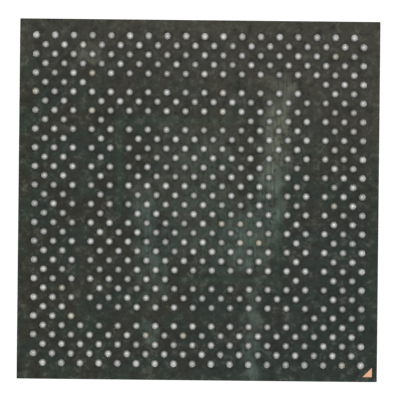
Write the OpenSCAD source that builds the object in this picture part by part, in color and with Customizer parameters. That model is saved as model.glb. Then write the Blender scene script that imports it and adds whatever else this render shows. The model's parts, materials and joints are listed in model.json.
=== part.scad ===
// Flip-chip ball grid array package, lying on the back of its die with the solder balls up.
// The origin is the centre of the die's back, and +Z points to the ball side. Millimetres.
// Ball columns are counted from the -X edge and ball rows from the +Y edge, both from 0.

/* [Substrate] */
// Side of the square substrate
substrate_side = 27; // [26:0.1:35]
// Thickness of the glass-cloth core
core_t = 0.8; // [0.4:0.1:1.2]
// Thickness of the copper plane on each face of the core
core_plane_t = 0.025; // [0.015:0.005:0.05]
// Thickness of the build-up resin over each core plane
build_up_t = 0.1; // [0.06:0.01:0.2]
// Thickness of the outer copper on each side
outer_copper_t = 0.018; // [0.012:0.002:0.036]
// Thickness of the solder mask over the outer copper
mask_t = 0.02; // [0.014:0.002:0.04]
// Width of the rim that has no copper plane
plane_rim = 0.7; // [0.4:0.05:1]
// Corner radius of the copper planes
plane_corner_r = 0.8; // [0.4:0.1:1.2]
// Drilled diameter of the plated holes through the core
via_d = 0.25; // [0.15:0.05:0.4]
// Wall of the copper plated into those holes
via_wall = 0.025; // [0.015:0.005:0.04]

/* [Ball array] */
// Distance between diagonal neighbours in the staggered array
ball_pitch = 0.99; // [0.9:0.01:1.02]
// Least distance from the centre of an outermost ball to the substrate's edge
array_margin = 1.2; // [1:0.05:1.6]
// Diameter of a solder ball
ball_d = 0.6; // [0.52:0.01:0.7]
// Diameter of the mask opening that a ball is seated in
mask_opening_d = 0.5; // [0.4:0.01:0.51]
// How far a pad reaches under the mask round its opening
mask_overlap = 0.05; // [0.03:0.01:0.08]
// Clearance between the copper plane and a pad or corner mark beside it
pad_gap = 0.06; // [0.04:0.01:0.08]
// Lattice ring of the empty outer moat, where the outermost ring is 0
outer_moat_ring = 5; // [4:1:6]
// Lattice ring that both inner moats run along
inner_moat_ring = 9; // [8:1:11]
// Lattice steps in the long arm of an inner moat
long_arm_steps = 12; // [8:2:12]
// Lattice steps in the short arm of an inner moat
short_arm_steps = 10; // [6:2:10]
// Width of the slot between copper planes along a moat
plane_slot = 0.5; // [0.3:0.05:0.6]

/* [Corner marks] */
// Leg of the bare copper triangle that marks corner A1
a1_leg = 0.7; // [0.5:0.05:0.9]
// Distance from the triangle's legs to the substrate's edges
a1_margin = 0.38; // [0.2:0.02:0.4]

/* [Die] */
// Length of the silicon die along X
die_x = 10.4; // [8:0.2:11]
// Length of the silicon die along Y
die_y = 9.6; // [8:0.2:11]
// Thickness of the die
die_t = 0.78; // [0.7:0.01:0.9]
// Diameter of a solder bump under the die
bump_d = 0.1; // [0.08:0.01:0.12]
// Height of a bump over the solder mask
bump_gap = 0.07; // [0.05:0.01:0.1]
// Spacing of the bumps
bump_pitch = 0.5; // [0.4:0.05:1]
// Least distance from a bump to the edge of the die
bump_margin = 0.4; // [0.3:0.05:0.8]
// How far the underfill spreads out from the die
underfill_spread = 1.1; // [0.6:0.1:1.3]
// How high the underfill climbs the side of the die
underfill_climb = 0.5; // [0.2:0.05:0.65]

/* [Capacitors] */
// Length of a capacitor
cap_l = 1; // [0.8:0.05:1.2]
// Width of a capacitor
cap_w = 0.5; // [0.4:0.05:0.6]
// Height of a capacitor
cap_h = 0.5; // [0.4:0.05:0.6]
// Length of the metal terminal on each end
terminal_band = 0.25; // [0.15:0.05:0.35]
// Thickness of the metal of a terminal
terminal_wall = 0.03; // [0.02:0.005:0.05]
// Capacitors along each side of the die
caps_per_side = 4; // [2:1:5]
// Spacing of the capacitors
cap_step = 2; // [1.2:0.1:2.2]
// Distance from the underfill to the nearest capacitor pad
cap_clearance = 0.6; // [0.3:0.1:1]
// Thickness of the solder under a terminal
joint_gap = 0.03; // [0.02:0.005:0.05]
// How far a solder joint reaches out from a terminal
joint_reach = 0.22; // [0.1:0.02:0.3]
// How high a solder joint climbs the end of a terminal
joint_climb = 0.35; // [0.15:0.05:0.4]

/* [Hidden] */
$fn = 32;

mask_colour = "#3e433f";
resin_colour = "#77776a";
cloth_colour = "#8f9083";
copper_colour = "#c98f6b";
solder_colour = "#b9bab8";
silicon_colour = "#4c4f55";
epoxy_colour = "#26282c";
ceramic_colour = "#9b8468";
tin_colour = "#d2d2cf";

// Heights of the layers' lower faces, from the die's back up to the ball side
z_bump = die_t;
z_die_mask = z_bump + bump_gap;
z_die_pads = z_die_mask + mask_t;
z_die_resin = z_die_pads + outer_copper_t;
z_die_plane = z_die_resin + build_up_t;
z_core = z_die_plane + core_plane_t;
z_ball_plane = z_core + core_t;
z_ball_resin = z_ball_plane + core_plane_t;
z_ball_pads = z_ball_resin + build_up_t;
z_ball_mask = z_ball_pads + outer_copper_t;

// The ball array
lattice_step = ball_pitch / sqrt(2);
last_line = floor((substrate_side - 2 * array_margin) / lattice_step);
pad_d = mask_opening_d + 2 * mask_overlap;
// Height of a ball's centre over the mask, so that it just fills its opening
ball_centre_rise = sqrt(pow(ball_d / 2, 2) - pow(mask_opening_d / 2, 2));

// The bumps under the die
bump_columns = floor((die_x - 2 * bump_margin) / bump_pitch) + 1;
bump_rows = floor((die_y - 2 * bump_margin) / bump_pitch) + 1;

// A capacitor's terminals and joints, measured from its middle
terminal_inner = cap_l / 2 - terminal_band;
joint_outer = cap_l / 2 + joint_reach;
fillet_step = 15;

function centred(line) = (line - last_line / 2) * lattice_step;
function site(column, row) = [centred(column), -centred(row)];
function ring(column, row) = min(column, row, last_line - column, last_line - row);
function in_lattice(column, row) = (column + row) % 2 == 0;

// The outer moat leaves its two balls on the array's diagonal standing
function in_outer_moat(column, row) = ring(column, row) == outer_moat_ring && column != row;

// One L-shaped moat, given in steps from its corner along its long and its short arm
function in_arms(along, across) =
    (across == 0 && along >= 0 && along <= long_arm_steps)
    || (along == 0 && across >= 0 && across <= short_arm_steps);

// The two inner moats mirror each other about the array's other diagonal
function in_inner_moat(column, row) =
    in_arms(column - inner_moat_ring, row - inner_moat_ring)
    || in_arms(last_line - inner_moat_ring - row, last_line - inner_moat_ring - column);

function has_ball(column, row) =
    in_lattice(column, row) && !in_outer_moat(column, row) && !in_inner_moat(column, row);

// Places of the balls in the rings from first to last_ring
function balls_in(first, last_ring) = [
    for (column = [0:last_line], row = [0:last_line])
        if (has_ball(column, row) && ring(column, row) >= first && ring(column, row) <= last_ring)
            site(column, row)
];

outer_band = balls_in(0, outer_moat_ring);
middle_ring = balls_in(outer_moat_ring + 1, inner_moat_ring - 1);
core_block = balls_in(inner_moat_ring, last_line);
all_balls = concat(outer_band, middle_ring, core_block);

// The plated holes stand in every second gap between the balls of the core block
vias = [
    for (column = [0:2:last_line], row = [1:2:last_line])
        if (ring(column, row) > inner_moat_ring) site(column, row)
];

bumps = [
    for (column = [0:bump_columns - 1], row = [0:bump_rows - 1])
        [column - (bump_columns - 1) / 2, row - (bump_rows - 1) / 2] * bump_pitch
];

// Quarter of a hollow curve from [reach, 0] to [0, climb], for solder and resin fillets
function fillet_curve(reach, climb) = [
    for (a = [0:fillet_step:90]) [reach * (1 - sin(a)), climb * (1 - cos(a))]
];

module at(places) {
    for (place = places)
        translate(place)
            children();
}

// A flat layer of the given outline, z up from its lower face
module layer(z, thickness) {
    translate([0, 0, z])
        linear_extrude(thickness)
            children();
}

// Turns a piece that is drawn standing on the die side's mask, with z away from it
module on_die_side() {
    translate([0, 0, z_die_mask])
        mirror([0, 0, 1])
            children();
}

module outline() {
    square(substrate_side, center = true);
}

module plane_outline() {
    side = substrate_side - 2 * plane_rim;
    corner = side / 2 - plane_corner_r;
    square([side, 2 * corner], center = true);
    square([2 * corner, side], center = true);
    for (x = [-corner, corner], y = [-corner, corner])
        translate([x, y])
            circle(r = plane_corner_r);
}

// Right-angled triangle in the +X -Y corner, its sides moved outwards by grow
module a1_triangle(grow) {
    leg = a1_leg + grow * (2 + sqrt(2));
    translate([substrate_side / 2 - a1_margin + grow, a1_margin - substrate_side / 2 - grow])
        polygon([[0, 0], [0, leg], [-leg, 0]]);
}

// Slot between the planes along a square ring of the lattice
module outer_slot() {
    reach = 2 * abs(centred(outer_moat_ring));
    difference() {
        square(reach + plane_slot, center = true);
        square(reach - plane_slot, center = true);
    }
}

// L-shaped slot along an inner moat, from its corner in the -X +Y quarter
module inner_slot() {
    corner = site(inner_moat_ring, inner_moat_ring);
    long_arm = long_arm_steps * lattice_step + plane_slot;
    short_arm = short_arm_steps * lattice_step + plane_slot;
    translate([corner.x - plane_slot / 2, corner.y - plane_slot / 2])
        square([long_arm, plane_slot]);
    translate([corner.x - plane_slot / 2, corner.y + plane_slot / 2 - short_arm])
        square([plane_slot, short_arm]);
}

module outer_plane_shape() {
    difference() {
        plane_outline();
        outer_slot();
        inner_slot();
        mirror([1, -1])
            inner_slot();
        at(all_balls)
            circle(d = pad_d + 2 * pad_gap);
        a1_triangle(mask_overlap + pad_gap);
    }
}

// One end of a capacitor's land: its solder footprint, or with grow its copper pad
module land(grow) {
    for (side = [-1, 1])
        translate([side * (terminal_inner + joint_outer) / 2, 0])
            square([joint_outer - terminal_inner + 2 * grow, cap_w + 2 * grow], center = true);
}

// Capacitors in a row along each side of the die, their length pointing at it
module at_capacitors() {
    for (side = [0:3]) {
        die_half = (side % 2 == 0 ? die_x : die_y) / 2;
        distance = die_half + underfill_spread + cap_clearance + joint_outer;
        for (place = [0:caps_per_side - 1])
            rotate(90 * side)
                translate([distance, (place - (caps_per_side - 1) / 2) * cap_step])
                    children();
    }
}

// Lays a profile of [outwards, up] points on its side, drawn out along Y by width
module drawn_along_y(width) {
    rotate([90, 0, 0])
        linear_extrude(width, center = true)
            children();
}

module underfill_profile() {
    polygon(concat([[0, 0]], fillet_curve(underfill_spread, bump_gap + underfill_climb)));
}

module joint_profile() {
    curve = [for (p = fillet_curve(joint_reach, joint_gap + joint_climb)) [cap_l / 2 + p.x, p.y]];
    polygon(concat(
        [[terminal_inner, joint_gap], [terminal_inner, -mask_t], [joint_outer, -mask_t]],
        curve,
        [[cap_l / 2, joint_gap]]
    ));
}

module silicon_die() {
    color(silicon_colour)
        layer(0, die_t)
            square([die_x, die_y], center = true);
}

// Each bump runs from the die, through the mask, to its pad
module solder_bumps() {
    color(solder_colour)
        layer(z_bump, bump_gap + mask_t)
            at(bumps)
                circle(d = bump_d);
}

// Resin that fills the gap under the die and climbs its four sides
module underfill() {
    color(epoxy_colour)
        on_die_side() {
            linear_extrude(bump_gap)
                difference() {
                    square([die_x, die_y], center = true);
                    at(bumps)
                        circle(d = bump_d);
                }
            for (side = [0:3]) {
                along = side % 2 == 0 ? die_y : die_x;
                out = side % 2 == 0 ? die_x : die_y;
                rotate(90 * side) {
                    translate([out / 2, 0, 0])
                        drawn_along_y(along)
                            underfill_profile();
                    translate([out / 2, along / 2, 0])
                        rotate_extrude(angle = 90)
                            underfill_profile();
                }
            }
        }
}

module capacitor_body() {
    translate([0, 0, joint_gap + cap_h / 2])
        cube([cap_l, cap_w, cap_h] - 2 * terminal_wall * [1, 1, 1], center = true);
}

module capacitor_bodies() {
    color(ceramic_colour)
        on_die_side()
            at_capacitors()
                capacitor_body();
}

// Metal caps that wrap the five faces of each end of a body
module capacitor_terminals() {
    color(tin_colour)
        on_die_side()
            at_capacitors()
                difference() {
                    for (side = [-1, 1])
                        translate([side * (cap_l - terminal_band) / 2, 0, joint_gap + cap_h / 2])
                            cube([terminal_band, cap_w, cap_h], center = true);
                    capacitor_body();
                }
}

module capacitor_joints() {
    color(solder_colour)
        on_die_side()
            at_capacitors()
                for (side = [0, 1])
                    mirror([side, 0, 0])
                        drawn_along_y(cap_w)
                            joint_profile();
}

// The mask lies over the outer copper and fills the spaces in it down to the resin
module die_side_mask() {
    color(mask_colour) {
        layer(z_die_mask, mask_t)
            difference() {
                outline();
                at(bumps)
                    circle(d = bump_d);
                at_capacitors()
                    land(0);
                a1_triangle(0);
            }
        layer(z_die_mask, mask_t + outer_copper_t)
            difference() {
                outline();
                bump_pad_shape();
                capacitor_pad_shape();
                a1_triangle(mask_overlap);
            }
    }
}

module bump_pad_shape() {
    at(bumps)
        circle(d = bump_d + mask_overlap);
}

module capacitor_pad_shape() {
    at_capacitors()
        land(mask_overlap);
}

module bump_pads() {
    color(copper_colour)
        layer(z_die_pads, outer_copper_t)
            bump_pad_shape();
}

module capacitor_pads() {
    color(copper_colour)
        layer(z_die_pads, outer_copper_t)
            capacitor_pad_shape();
}

module die_side_a1_mark() {
    color(copper_colour)
        layer(z_die_pads, outer_copper_t)
            a1_triangle(mask_overlap);
}

// Build-up resin covers its core plane and flows round the plane's rim to the core
module die_side_build_up() {
    color(resin_colour) {
        layer(z_die_resin, build_up_t)
            outline();
        layer(z_die_plane, core_plane_t)
            difference() {
                outline();
                plane_outline();
            }
    }
}

module die_side_plane() {
    color(copper_colour)
        layer(z_die_plane, core_plane_t)
            plane_outline();
}

module core() {
    color(cloth_colour)
        layer(z_core, core_t)
            difference() {
                outline();
                at(vias)
                    circle(d = via_d);
            }
}

// Copper tubes that join the two core planes
module via_barrels() {
    color(copper_colour)
        layer(z_core, core_t)
            at(vias)
                difference() {
                    circle(d = via_d);
                    circle(d = via_d - 2 * via_wall);
                }
}

module via_plugs() {
    color(resin_colour)
        layer(z_core, core_t)
            at(vias)
                circle(d = via_d - 2 * via_wall);
}

module ball_side_plane() {
    color(copper_colour)
        layer(z_ball_plane, core_plane_t)
            plane_outline();
}

module ball_side_build_up() {
    color(resin_colour) {
        layer(z_ball_resin, build_up_t)
            outline();
        layer(z_ball_plane, core_plane_t)
            difference() {
                outline();
                plane_outline();
            }
    }
}

// Copper planes parted by the moats, with a clear hole round every ball pad
module outer_planes() {
    color(copper_colour)
        layer(z_ball_pads, outer_copper_t)
            outer_plane_shape();
}

module ball_pads() {
    color(copper_colour)
        layer(z_ball_pads, outer_copper_t)
            at(all_balls)
                circle(d = pad_d);
}

module ball_side_a1_mark() {
    color(copper_colour)
        layer(z_ball_pads, outer_copper_t)
            a1_triangle(mask_overlap);
}

// Room in the mask for a ball's pad and, over it, the neck of the ball
module pad_and_neck() {
    top = outer_copper_t + mask_t;
    rotate_extrude()
        polygon([
            [0, 0], [pad_d / 2, 0], [pad_d / 2, outer_copper_t],
            [mask_opening_d / 2, outer_copper_t], [mask_opening_d / 2, top], [0, top]
        ]);
}

module ball_side_mask() {
    color(mask_colour)
        difference() {
            layer(z_ball_pads, outer_copper_t + mask_t)
                outline();
            outer_planes();
            translate([0, 0, z_ball_pads])
                at(all_balls)
                    pad_and_neck();
            ball_side_a1_mark();
            layer(z_ball_pads, outer_copper_t + mask_t)
                a1_triangle(0);
        }
}

// A reflowed ball: its neck fills the mask opening and its flat-bottomed sphere stands on it
module ball() {
    cylinder(d = mask_opening_d, h = mask_t);
    translate([0, 0, mask_t])
        difference() {
            translate([0, 0, ball_centre_rise])
                sphere(d = ball_d);
            translate([0, 0, -ball_d])
                cube(2 * ball_d, center = true);
        }
}

module balls(places) {
    color(solder_colour)
        translate([0, 0, z_ball_mask])
            at(places)
                ball();
}

module balls_outer_band() {
    balls(outer_band);
}

module balls_middle_ring() {
    balls(middle_ring);
}

module balls_core_block() {
    balls(core_block);
}

silicon_die();
solder_bumps();
underfill();
capacitor_bodies();
capacitor_terminals();
capacitor_joints();
die_side_mask();
bump_pads();
capacitor_pads();
die_side_a1_mark();
die_side_build_up();
die_side_plane();
core();
via_barrels();
via_plugs();
ball_side_plane();
ball_side_build_up();
outer_planes();
ball_pads();
ball_side_a1_mark();
ball_side_mask();
balls_outer_band();
balls_middle_ring();
balls_core_block();
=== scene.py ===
"""Looks of a flip-chip ball grid array package that lies on its die, solder balls up. Metres."""
import json
import math
import random

import bpy
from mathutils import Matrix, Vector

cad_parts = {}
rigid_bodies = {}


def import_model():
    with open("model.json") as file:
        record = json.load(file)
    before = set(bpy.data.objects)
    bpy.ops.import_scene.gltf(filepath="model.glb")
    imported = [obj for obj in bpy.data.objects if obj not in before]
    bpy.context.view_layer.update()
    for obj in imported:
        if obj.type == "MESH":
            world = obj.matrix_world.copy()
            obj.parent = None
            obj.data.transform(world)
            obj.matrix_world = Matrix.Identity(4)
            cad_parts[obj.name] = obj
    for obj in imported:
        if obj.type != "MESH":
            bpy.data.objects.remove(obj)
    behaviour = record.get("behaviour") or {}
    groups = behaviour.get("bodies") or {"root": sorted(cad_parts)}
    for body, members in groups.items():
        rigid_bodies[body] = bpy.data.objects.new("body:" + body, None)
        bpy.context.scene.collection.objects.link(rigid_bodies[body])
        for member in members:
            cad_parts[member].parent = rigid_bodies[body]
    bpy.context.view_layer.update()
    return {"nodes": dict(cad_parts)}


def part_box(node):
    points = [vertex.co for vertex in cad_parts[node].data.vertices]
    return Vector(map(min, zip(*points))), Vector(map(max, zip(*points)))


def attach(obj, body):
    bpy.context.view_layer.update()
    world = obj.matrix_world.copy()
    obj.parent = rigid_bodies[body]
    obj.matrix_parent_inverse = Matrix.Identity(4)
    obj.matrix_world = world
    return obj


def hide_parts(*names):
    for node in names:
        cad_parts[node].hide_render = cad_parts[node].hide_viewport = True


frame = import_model()

MM = 0.001

# The package, from the frame
CORE_LOW, CORE_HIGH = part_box("core")
MASK_LOW, MASK_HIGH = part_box("ball_side_mask")
COPPER_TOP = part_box("outer_planes")[1].z
PLANE_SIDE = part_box("outer_planes")[1].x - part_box("outer_planes")[0].x
BALL_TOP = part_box("balls_core_block")[1].z
SUBSTRATE_SIDE = CORE_HIGH.x - CORE_LOW.x

# The ball array
BALL_PITCH = 0.99 * MM
LATTICE_STEP = BALL_PITCH / math.sqrt(2)
LAST_LINE = 35
OUTER_MOAT_RING = 5
INNER_MOAT_RING = 9
LONG_ARM_STEPS = 12
SHORT_ARM_STEPS = 10
PLANE_SLOT = 0.5 * MM
PLANE_CORNER = 0.8 * MM
BALL_D = 0.6 * MM
OPENING_D = 0.5 * MM
A1_LEG = 0.7 * MM
A1_MARGIN = 0.38 * MM

# The mask film sinks this far where no copper lies under it, over a slope this wide
SAG = 0.008 * MM
SAG_SLOPE = 0.05 * MM

random.seed(5)


def centred(line):
    return (line - LAST_LINE / 2) * LATTICE_STEP


def ring(column, row):
    return min(column, row, LAST_LINE - column, LAST_LINE - row)


def in_arms(along, across):
    in_long_arm = across == 0 and 0 <= along <= LONG_ARM_STEPS
    in_short_arm = along == 0 and 0 <= across <= SHORT_ARM_STEPS
    return in_long_arm or in_short_arm


def has_ball(column, row):
    """The staggered lattice less its outer moat and its two L-shaped inner moats."""
    in_outer_moat = ring(column, row) == OUTER_MOAT_RING and column != row
    far = LAST_LINE - INNER_MOAT_RING
    in_inner_moat = in_arms(column - INNER_MOAT_RING, row - INNER_MOAT_RING) or in_arms(far - row, far - column)
    return (column + row) % 2 == 0 and not in_outer_moat and not in_inner_moat


def places_in(first_ring, last_ring):
    """Centres of the balls in those rings, counted from the array's edge."""
    lines = range(LAST_LINE + 1)
    return [
        (centred(column), -centred(row))
        for column in lines
        for row in lines
        if has_ball(column, row) and first_ring <= ring(column, row) <= last_ring
    ]


# ---------------------------------------------------------------- modelling helpers


def deselect_all():
    for piece in bpy.context.view_layer.objects:
        piece.select_set(False)


def begin(name):
    """Names the primitive just added and opens it for editing with nothing selected."""
    piece = bpy.context.object
    piece.name = name
    piece.data.name = name
    bpy.ops.object.transform_apply(location=True, rotation=True, scale=True)
    bpy.ops.object.mode_set(mode="EDIT")
    bpy.ops.mesh.select_mode(type="FACE")
    bpy.ops.mesh.select_all(action="DESELECT")
    return piece


def close(piece):
    bpy.ops.object.mode_set(mode="OBJECT")
    return piece


def pick_faces(piece, wanted):
    """Selects the faces whose centre and normal pass a test."""
    bpy.ops.object.mode_set(mode="OBJECT")
    for face in piece.data.polygons:
        face.select = wanted(face.center, face.normal)
    bpy.ops.object.mode_set(mode="EDIT")


def only(piece):
    deselect_all()
    piece.select_set(True)
    bpy.context.view_layer.objects.active = piece


def apply_modifier(piece, kind, **settings):
    only(piece)
    modifier = piece.modifiers.new(kind.lower(), kind)
    for name, value in settings.items():
        setattr(modifier, name, value)
    bpy.ops.object.modifier_apply(modifier=modifier.name)


def copy_of(piece, name):
    twin = piece.copy()
    twin.data = piece.data.copy()
    twin.name = name
    bpy.context.scene.collection.objects.link(twin)
    return twin


def joined(pieces, name):
    """Fixes each piece's place in its mesh and makes them one object."""
    deselect_all()
    for piece in pieces:
        piece.select_set(True)
    bpy.context.view_layer.objects.active = pieces[0]
    bpy.ops.object.transform_apply(location=True, rotation=True, scale=True)
    bpy.ops.object.join()
    pieces[0].name = name
    pieces[0].data.name = name
    return pieces[0]


def remove(piece):
    bpy.data.objects.remove(piece, do_unlink=True)


def smooth(piece, degrees):
    only(piece)
    bpy.ops.object.shade_smooth_by_angle(angle=math.radians(degrees))


# ---------------------------------------------------------------- material helpers


def linear(colour):
    """An sRGB hex colour as linear RGBA."""
    channels = [int(colour[i : i + 2], 16) / 255 for i in (1, 3, 5)]
    return (*[c / 12.92 if c <= 0.04045 else ((c + 0.055) / 1.055) ** 2.4 for c in channels], 1)


def new_material(name, **sockets):
    """A Principled material, its named sockets set, and its node tree and shader."""
    material = bpy.data.materials.new(name)
    material.use_nodes = True
    shader = material.node_tree.nodes["Principled BSDF"]
    for socket, value in sockets.items():
        shader.inputs[socket.replace("_", " ")].default_value = value
    return material, material.node_tree, shader


def add(tree, kind, links=None, out=0, **settings):
    """Adds a node with its settings, sockets and links, and returns one of its outputs."""
    made = tree.nodes.new("ShaderNode" + kind)
    for name, value in settings.items():
        setattr(made, name, value)
    for socket, value in (links or {}).items():
        if isinstance(value, bpy.types.NodeSocket):
            tree.links.new(value, made.inputs[socket])
        else:
            made.inputs[socket].default_value = value
    return made.outputs[out]


def maths(tree, operation, first, second=0.0, third=0.0):
    return add(tree, "Math", {0: first, 1: second, 2: third}, operation=operation)


def blend_colours(tree, factor, first, second):
    return add(tree, "Mix", {0: factor, 6: first, 7: second}, out=2, data_type="RGBA")


def ramp(tree, value, low, high, to_low=0.0, to_high=1.0):
    """Soft step of a value between two limits."""
    links = {"Value": value, "From Min": low, "From Max": high, "To Min": to_low, "To Max": to_high}
    return add(tree, "MapRange", links, interpolation_type="SMOOTHSTEP")


def place(tree):
    """The surface's own coordinates, in metres."""
    return add(tree, "TexCoord", out=3)


def noise(tree, vector, size, detail=2.0, stretch=(1, 1, 1), roughness=0.5):
    """Noise whose blotches are about size across, stretched along an axis where that is over 1."""
    scale = [1 / (size * s) for s in stretch]
    mapped = add(tree, "Mapping", {"Vector": vector, "Scale": scale})
    return add(tree, "TexNoise", {"Vector": mapped, "Scale": 1.0, "Detail": detail, "Roughness": roughness})


def bump(tree, shader, height, distance, strength=1.0):
    normal = add(tree, "Bump", {"Height": height, "Distance": distance, "Strength": strength})
    tree.links.new(normal, shader.inputs["Normal"])


# ---------------------------------------------------------------- camera, light and floor

FRAME_WIDTH = 29.92 * MM
CAMERA_HEIGHT = 300 * MM
PACKAGE_TURN = math.radians(0.6)
CAMERA_PLACE = (0.11 * MM, 0.02 * MM, CAMERA_HEIGHT)

camera_data = bpy.data.cameras.new("camera")
camera_data.sensor_width = 36
camera_data.lens = camera_data.sensor_width * (CAMERA_HEIGHT - BALL_TOP) / FRAME_WIDTH
camera_data.clip_start = 10 * MM
camera_data.clip_end = 10
camera = bpy.data.objects.new("camera", camera_data)
bpy.context.scene.collection.objects.link(camera)
camera.location = CAMERA_PLACE
camera.rotation_euler = (0, 0, PACKAGE_TURN)
bpy.context.scene.camera = camera
bpy.context.scene.view_settings.view_transform = "Standard"


SOFTBOX_WIDTH = 120 * MM
SOFTBOX_WATTS = 0.1
SOFTBOX_PLACE = (10 * MM, 25 * MM, 260 * MM)
DOME_SIDES, DOME_TOP = 0.55, 0.95
FLOOR_WIDTH = 4
FLOOR_DROP = 0.01 * MM
FLOOR_GLOW = 0.6


def softbox(name, size, power, where):
    """A round soft lamp that looks at the package."""
    data = bpy.data.lights.new(name, "AREA")
    data.shape = "DISK"
    data.size = size
    data.energy = power
    lamp = bpy.data.objects.new(name, data)
    bpy.context.scene.collection.objects.link(lamp)
    lamp.location = where
    lamp.rotation_euler = lamp.location.to_track_quat("Z", "Y").to_euler()


def light_the_studio():
    """A pale dome that is brightest overhead, as over a copy stand, and white to the eye."""
    world = bpy.data.worlds.new("studio")
    bpy.context.scene.world = world
    world.use_nodes = True
    tree = world.node_tree
    background = tree.nodes["Background"]
    up = add(tree, "SeparateXYZ", {0: add(tree, "TexCoord")}, out=2)
    dome = ramp(tree, up, 0.1, 1.0, DOME_SIDES, DOME_TOP)
    seen = add(tree, "LightPath")
    tree.links.new(maths(tree, "MAXIMUM", dome, seen), background.inputs["Strength"])
    background.inputs["Color"].default_value = (1, 1, 1, 1)
    softbox("overhead_softbox", SOFTBOX_WIDTH, SOFTBOX_WATTS, SOFTBOX_PLACE)


def lay_the_floor():
    """White card, lit up for the eye and for reflections, that still takes the package's shadow."""
    bpy.ops.mesh.primitive_plane_add(size=FLOOR_WIDTH, location=(0, 0, -FLOOR_DROP))
    floor = bpy.context.object
    floor.name = "floor"
    material, tree, shader = new_material("white_card", Roughness=0.9)
    shader.inputs["Base Color"].default_value = linear("#f4f4f4")
    shader.inputs["Emission Color"].default_value = (1, 1, 1, 1)
    path = tree.nodes.new("ShaderNodeLightPath").outputs
    seen = maths(tree, "MAXIMUM", path["Is Camera Ray"], path["Is Glossy Ray"])
    seen = maths(tree, "MAXIMUM", seen, path["Is Transmission Ray"])
    tree.links.new(maths(tree, "MULTIPLY", seen, FLOOR_GLOW), shader.inputs["Emission Strength"])
    floor.data.materials.append(material)


light_the_studio()
lay_the_floor()


# ---------------------------------------------------------------- materials


# Smears of dried flux on the ball side, in millimetres: middle, half width and half length, lean, strength
SMEARS = [
    ((5.6, 2.6), (1.1, 7.0), 0.11, 1.0),
    ((3.5, -3.2), (1.8, 2.6), 0.05, 0.8),
    ((4.1, -10.0), (0.6, 4.5), 0.0, 0.75),
    ((-3.8, -3.0), (0.9, 5.2), -0.08, 0.65),
    ((-3.5, -9.8), (0.6, 1.1), 0.0, 0.9),
    ((-8.0, 11.0), (1.0, 0.8), 0.0, 0.6),
    ((0.0, 0.6), (3.2, 6.0), 0.0, 0.35),
]


def smear(tree, x, y, smear_shape):
    """Soft-edged upright patch that leans sideways."""
    (middle_x, middle_y), (half_x, half_y), lean, strength = smear_shape
    along = maths(tree, "SUBTRACT", y, middle_y)
    shift = maths(tree, "MULTIPLY", along, lean)
    across = maths(tree, "SUBTRACT", maths(tree, "SUBTRACT", x, middle_x), shift)
    beside = ramp(tree, maths(tree, "ABSOLUTE", across), 0.4 * half_x, 1.4 * half_x, strength, 0)
    lengthways = ramp(tree, maths(tree, "ABSOLUTE", along), 0.6 * half_y, 1.1 * half_y, 1, 0)
    return maths(tree, "MULTIPLY", beside, lengthways)


def ball_side_mask_material():
    """Photo-imaged epoxy solder mask, coated wet and cured: a satin, very dark green film.

    Copper under the film reads browner, and bare resin, where the film sags, greener. Flux wiped and
    dried down the package leaves pale smears with fine upright streaks in them. The streaks are drawn
    0.14 mm wide, as coarse as they need to be to show.
    """
    material, tree, shader = new_material("cured_solder_mask", Specular_IOR_Level=0.2)
    at = place(tree)
    x, y, z = (add(tree, "SeparateXYZ", {0: at}, out=axis) for axis in range(3))
    wander = noise(tree, at, 1.6 * MM, 4.0)
    drift = maths(tree, "MULTIPLY", maths(tree, "SUBTRACT", wander, 0.5), 2.4)
    x_mm = maths(tree, "ADD", maths(tree, "DIVIDE", x, MM), drift)
    y_mm = maths(tree, "ADD", maths(tree, "DIVIDE", y, MM), drift)

    green_blots = ramp(tree, noise(tree, at, 2.2 * MM, 3.0), 0.38, 0.62)
    film = blend_colours(tree, green_blots, linear("#2b2a1f"), linear("#243026"))
    on_copper = ramp(tree, z, MASK_HIGH.z - SAG, MASK_HIGH.z, 0.35, 1)
    film = blend_colours(tree, on_copper, linear("#263a2b"), film)
    # Painted shade: the film is drawn darker and more teal toward the bottom right, the dim end of a painted
    # reflection of the overhead light.
    painted_shade_bottom_right = maths(tree, "SUBTRACT", x_mm, y_mm)
    film = blend_colours(tree, ramp(tree, painted_shade_bottom_right, 4, 22, 0, 0.7), film, linear("#1e2d28"))
    # Painted glare: the film is drawn lighter and warmer toward the top and top right, a painted reflection of
    # the overhead light.
    top = maths(tree, "ADD", maths(tree, "MULTIPLY", x_mm, 0.3), y_mm)
    film = blend_colours(tree, ramp(tree, top, 2, 13, 0, 0.7), film, linear("#3e3b32"))

    flux = 0.0
    for shape in SMEARS:
        flux = maths(tree, "MAXIMUM", flux, smear(tree, x_mm, y_mm, shape))
    streaks = ramp(tree, noise(tree, at, 0.14 * MM, 4.0, stretch=(1, 14, 1)), 0.35, 0.65, 0.5, 1)
    patches = ramp(tree, noise(tree, at, 0.9 * MM, 4.0), 0.35, 0.65, 0.35, 1)
    flux = maths(tree, "MULTIPLY", flux, maths(tree, "MULTIPLY", streaks, patches))
    residue = blend_colours(tree, ramp(tree, y_mm, -2, 6), linear("#5f7268"), linear("#747869"))
    film = blend_colours(tree, flux, film, residue)

    mottle = noise(tree, at, 0.55 * MM, 5.0, roughness=0.7)
    film = blend_colours(tree, ramp(tree, mottle, 0.5, 0.7, 0, 0.6), film, linear("#5a5d52"))
    film = blend_colours(tree, ramp(tree, mottle, 0.5, 0.3, 0, 0.75), film, linear("#10120f"))
    tree.links.new(film, shader.inputs["Base Color"])

    roughness = maths(tree, "ADD", maths(tree, "MULTIPLY", flux, 0.2), 0.5)
    tree.links.new(roughness, shader.inputs["Roughness"])
    bump(tree, shader, noise(tree, at, 0.3 * MM, 4.0, roughness=0.6), 0.004 * MM)
    return material


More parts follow.
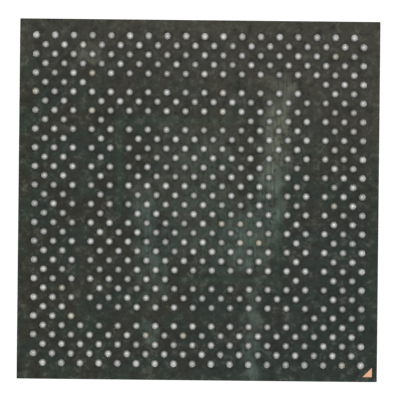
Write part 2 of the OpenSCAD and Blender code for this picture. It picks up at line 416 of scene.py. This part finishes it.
def die_side_mask_material():
    """The same film on the clean side: even, very dark green."""
    material, tree, shader = new_material("clean_solder_mask", Roughness=0.45, Specular_IOR_Level=0.4)
    at = place(tree)
    film = blend_colours(tree, noise(tree, at, 3 * MM, 3.0), linear("#20281f"), linear("#262e27"))
    tree.links.new(film, shader.inputs["Base Color"])
    bump(tree, shader, noise(tree, at, 0.3 * MM, 4.0), 0.003 * MM)
    return material


def reflowed_solder_material():
    """Tin-silver-copper solder after reflow: frosted silver, each ball a little lighter or duller.

    Snapping the place to the lattice gives each ball its own tone, and a few a straw tint of old flux.
    """
    material, tree, shader = new_material("reflowed_solder", Metallic=1.0)
    at = place(tree)
    cell = add(tree, "VectorMath", {0: at, 1: (LATTICE_STEP, LATTICE_STEP, 1)}, operation="SNAP")
    each = add(tree, "TexWhiteNoise", {"Vector": cell}, noise_dimensions="3D")
    tint = add(tree, "TexWhiteNoise", {"Vector": cell}, out=1, noise_dimensions="3D")
    tint = add(tree, "SeparateColor", {0: tint}, out=2)
    silver = blend_colours(tree, each, linear("#adaeaa"), linear("#d6d7d4"))
    silver = blend_colours(tree, ramp(tree, tint, 0.93, 1.0, 0, 0.4), silver, linear("#c2b48c"))
    grain = noise(tree, at, 0.08 * MM, 3.0)
    silver = blend_colours(tree, ramp(tree, grain, 0.4, 0.7, 0, 0.35), silver, linear("#8f908c"))
    height = add(tree, "SeparateXYZ", {0: at}, out=2)
    # Painted shade: each ball is drawn darker toward its foot, where it curls under into the mask opening.
    painted_shade_at_foot = ramp(tree, height, MASK_HIGH.z, MASK_HIGH.z + 0.18 * MM, 0.25, 0)
    silver = blend_colours(tree, painted_shade_at_foot, silver, linear("#55544c"))
    tree.links.new(silver, shader.inputs["Base Color"])
    tree.links.new(ramp(tree, grain, 0.3, 0.7, 0.4, 0.56), shader.inputs["Roughness"])
    bump(tree, shader, grain, 0.004 * MM)
    return material


def bare_copper_material():
    """Bare rolled copper with a finish that keeps it salmon pink."""
    material, tree, shader = new_material("bare_copper", Metallic=1.0, Roughness=0.45)
    tarnish = noise(tree, place(tree), 0.2 * MM, 3.0)
    colour = blend_colours(tree, tarnish, linear("#b98868"), linear("#d0a489"))
    tree.links.new(colour, shader.inputs["Base Color"])
    return material


def plain_material(name, colour, spot_colour, size, **sockets):
    """A finish whose colour drifts between two tones."""
    material, tree, shader = new_material(name, **sockets)
    tone = blend_colours(tree, noise(tree, place(tree), size, 3.0), linear(colour), linear(spot_colour))
    tree.links.new(tone, shader.inputs["Base Color"])
    return material


BALL_SIDE_MASK = ball_side_mask_material()
DIE_SIDE_MASK = die_side_mask_material()
SOLDER = reflowed_solder_material()
COPPER = bare_copper_material()
# Sawn edge of glass cloth in epoxy: matt, grey green, with paler glass
LAMINATE = plain_material("glass_epoxy_laminate", "#8f9083", "#b3b19c", 0.2 * MM, Roughness=0.7)
# Cured build-up resin, cut with the core: smoother and even
BUILD_UP = plain_material("build_up_resin", "#77776a", "#8a8a7c", 0.1 * MM, Roughness=0.6)
# Back-ground silicon: a dark, glossy semi-metal
SILICON = plain_material("ground_silicon", "#55585e", "#5f6268", 2 * MM, Metallic=0.6, Roughness=0.2)
# Capillary underfill epoxy, cured: near black and shiny
UNDERFILL = plain_material("underfill_epoxy", "#1d1f22", "#26282c", 0.5 * MM, Roughness=0.25)
# Fired barium titanate: matt tan
CERAMIC = plain_material("fired_ceramic", "#9b8468", "#ad9678", 0.3 * MM, Roughness=0.6)
# Matt tin plated on the capacitors' ends
TIN = plain_material("plated_tin", "#c9c9c5", "#dcdcd8", 0.1 * MM, Metallic=1.0, Roughness=0.4)

FINISHES = {
    "silicon_die": SILICON,
    "solder_bumps": SOLDER,
    "underfill": UNDERFILL,
    "capacitor_bodies": CERAMIC,
    "capacitor_terminals": TIN,
    "capacitor_joints": TIN,
    "die_side_mask": DIE_SIDE_MASK,
    "bump_pads": COPPER,
    "capacitor_pads": COPPER,
    "die_side_a1_mark": COPPER,
    "die_side_build_up": BUILD_UP,
    "die_side_plane": COPPER,
    "core": LAMINATE,
    "via_barrels": COPPER,
    "via_plugs": BUILD_UP,
    "ball_side_plane": COPPER,
    "ball_side_build_up": BUILD_UP,
    "outer_planes": COPPER,
    "ball_pads": COPPER,
    "ball_side_a1_mark": COPPER,
}


def finish_cad_nodes():
    for name, material in FINISHES.items():
        data = frame["nodes"][name].data
        data.materials.clear()
        data.materials.append(material)


# ---------------------------------------------------------------- solder balls


BALL_SIDES = 12
BALL_RINGS = 6
NARROWEST_BALL = 0.975


def reflowed_ball():
    """One ball: a sphere cut flat where it meets the mask, with a neck that fills the opening."""
    rise = math.sqrt((BALL_D / 2) ** 2 - (OPENING_D / 2) ** 2)
    deselect_all()
    bpy.ops.mesh.primitive_uv_sphere_add(
        segments=BALL_SIDES, ring_count=BALL_RINGS, radius=BALL_D / 2, location=(0, 0, MASK_HIGH.z + rise)
    )
    ball = begin("reflowed_ball")
    bpy.ops.mesh.select_all(action="SELECT")
    bpy.ops.mesh.bisect(
        plane_co=(0, 0, MASK_HIGH.z), plane_no=(0, 0, 1), clear_inner=True, use_fill=True
    )
    pick_faces(ball, lambda centre, normal: normal.z < -0.9)
    bpy.ops.mesh.extrude_region_move(
        TRANSFORM_OT_translate={"value": (0, 0, COPPER_TOP - MASK_HIGH.z)}
    )
    close(ball)
    smooth(ball, 50)
    return ball


def solder_balls():
    """Three fields of balls, no two set down quite alike."""
    pattern = reflowed_ball()
    fields = {
        "balls_outer_band": (0, OUTER_MOAT_RING),
        "balls_middle_ring": (OUTER_MOAT_RING + 1, INNER_MOAT_RING - 1),
        "balls_core_block": (INNER_MOAT_RING, LAST_LINE),
    }
    for node, (first, last) in fields.items():
        copies = []
        for x, y in places_in(first, last):
            ball = copy_of(pattern, "ball")
            spread = random.uniform(NARROWEST_BALL, 1.0)
            ball.scale = (spread, spread, 1)
            ball.location = (x, y, 0)
            ball.rotation_euler = (0, 0, random.uniform(0, math.tau))
            copies.append(ball)
        field = joined(copies, node.replace("balls", "solder_balls"))
        field.data.materials.clear()
        field.data.materials.append(SOLDER)
        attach(field, "root")
        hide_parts(node)
    remove(pattern)


# ---------------------------------------------------------------- solder mask of the ball side

CUTTER_HEIGHT = 0.1 * MM
OPENING_SIDES = 16


def slab(name, side, low, high, corner=0.0):
    """A square plate between two heights, its upright edges rounded by corner."""
    deselect_all()
    bpy.ops.mesh.primitive_plane_add(size=side, location=(0, 0, low))
    plate = begin(name)
    if corner:
        bpy.ops.mesh.select_all(action="SELECT")
        bpy.ops.mesh.bevel(offset=corner, segments=8, affect="VERTICES")
    bpy.ops.mesh.select_all(action="SELECT")
    bpy.ops.mesh.extrude_region_move(TRANSFORM_OT_translate={"value": (0, 0, high - low)})
    bpy.ops.mesh.select_all(action="SELECT")
    bpy.ops.mesh.normals_make_consistent(inside=False)
    return close(plate)


def sag_cutter(plan):
    """Raises a flat plan lying at the film's top into a cutter whose underside slopes down to the sag."""
    bpy.ops.mesh.select_all(action="SELECT")
    bpy.ops.mesh.extrude_region_move(TRANSFORM_OT_translate={"value": (0, 0, CUTTER_HEIGHT)})
    half_way = MASK_HIGH.z + CUTTER_HEIGHT / 2
    pick_faces(plan, lambda centre, normal: abs(normal.z) > 0.9 and centre.z < half_way)
    bpy.ops.mesh.inset(thickness=SAG_SLOPE, use_even_offset=True)
    bpy.ops.transform.translate(value=(0, 0, -2 * SAG))
    bpy.ops.mesh.select_all(action="SELECT")
    bpy.ops.mesh.normals_make_consistent(inside=False)
    return close(plan)


def ring_sag(name, inner_side, width, corner=0.0):
    """Cutter along a square ring, for the rim beyond the copper or the outer moat."""
    deselect_all()
    bpy.ops.mesh.primitive_plane_add(size=inner_side, location=(0, 0, MASK_HIGH.z + SAG))
    plan = begin(name)
    bpy.ops.mesh.select_all(action="SELECT")
    if corner:
        bpy.ops.mesh.bevel(offset=corner, segments=8, affect="VERTICES")
        bpy.ops.mesh.select_all(action="SELECT")
    bpy.ops.mesh.inset(thickness=width, use_outset=True)
    pick_faces(plan, lambda centre, normal: math.hypot(centre.x, centre.y) < MM)
    bpy.ops.mesh.delete(type="FACE")
    return sag_cutter(plan)


def arm_sag(name, start, end):
    """Cutter along one arm of an inner moat, from the moat's corner to the arm's end."""
    deselect_all()
    middle = ((start[0] + end[0]) / 2, (start[1] + end[1]) / 2, MASK_HIGH.z + SAG)
    bpy.ops.mesh.primitive_plane_add(size=1, location=middle)
    plan = bpy.context.object
    plan.scale = (abs(end[0] - start[0]) + PLANE_SLOT, abs(end[1] - start[1]) + PLANE_SLOT, 1)
    return sag_cutter(begin(name))


def moat_sags():
    """Cutters for everything that has no copper under it."""
    rim = ring_sag("rim_sag", PLANE_SIDE, 2 * (SUBSTRATE_SIDE - PLANE_SIDE), PLANE_CORNER)
    reach = 2 * abs(centred(OUTER_MOAT_RING))
    cutters = [rim, ring_sag("outer_moat_sag", reach - PLANE_SLOT, PLANE_SLOT)]
    corner = centred(INNER_MOAT_RING)
    long_end = corner + LONG_ARM_STEPS * LATTICE_STEP
    short_end = corner + SHORT_ARM_STEPS * LATTICE_STEP
    cutters.append(arm_sag("upper_long_sag", (corner, -corner), (long_end, -corner)))
    cutters.append(arm_sag("upper_short_sag", (corner, -corner), (corner, -short_end)))
    cutters.append(arm_sag("lower_long_sag", (-corner, corner), (-corner, long_end)))
    cutters.append(arm_sag("lower_short_sag", (-corner, corner), (-short_end, corner)))
    return cutters


def opening_cutters():
    """Round openings for all the balls, and the three-sided one over the A1 mark."""
    height = 4 * (MASK_HIGH.z - MASK_LOW.z)
    deselect_all()
    bpy.ops.mesh.primitive_cylinder_add(vertices=OPENING_SIDES, radius=OPENING_D / 2, depth=height)
    pattern = bpy.context.object
    copies = []
    for x, y in places_in(0, LAST_LINE):
        cutter = copy_of(pattern, "opening")
        cutter.location = (x, y, MASK_HIGH.z)
        copies.append(cutter)
    remove(pattern)

    corner = SUBSTRATE_SIDE / 2 - A1_MARGIN
    middle = (corner - A1_LEG / 2, A1_LEG / 2 - corner, MASK_HIGH.z)
    deselect_all()
    bpy.ops.mesh.primitive_cube_add(size=1, location=middle)
    bpy.context.object.scale = (A1_LEG, A1_LEG, height)
    triangle = begin("mark_opening")
    bpy.ops.mesh.select_all(action="SELECT")
    bpy.ops.mesh.bisect(plane_co=middle, plane_no=(-1, 1, 0), clear_outer=True, use_fill=True)
    copies.append(close(triangle))
    return joined(copies, "openings")


def cut(piece, cutter):
    apply_modifier(piece, "BOOLEAN", operation="DIFFERENCE", object=cutter, solver="EXACT")
    remove(cutter)


def ball_side_mask():
    """The mask film: it lies over the copper planes, sags beside them and has all the openings."""
    film = slab("solder_mask_film", SUBSTRATE_SIDE, MASK_LOW.z, MASK_HIGH.z)
    cut(film, slab("copper_room", PLANE_SIDE, MASK_LOW.z - CUTTER_HEIGHT, COPPER_TOP, PLANE_CORNER))
    for cutter in moat_sags():
        cut(film, cutter)
    cut(film, opening_cutters())
    film.data.materials.clear()
    film.data.materials.append(BALL_SIDE_MASK)
    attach(film, "root")
    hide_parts("ball_side_mask")


finish_cad_nodes()
solder_balls()
ball_side_mask()
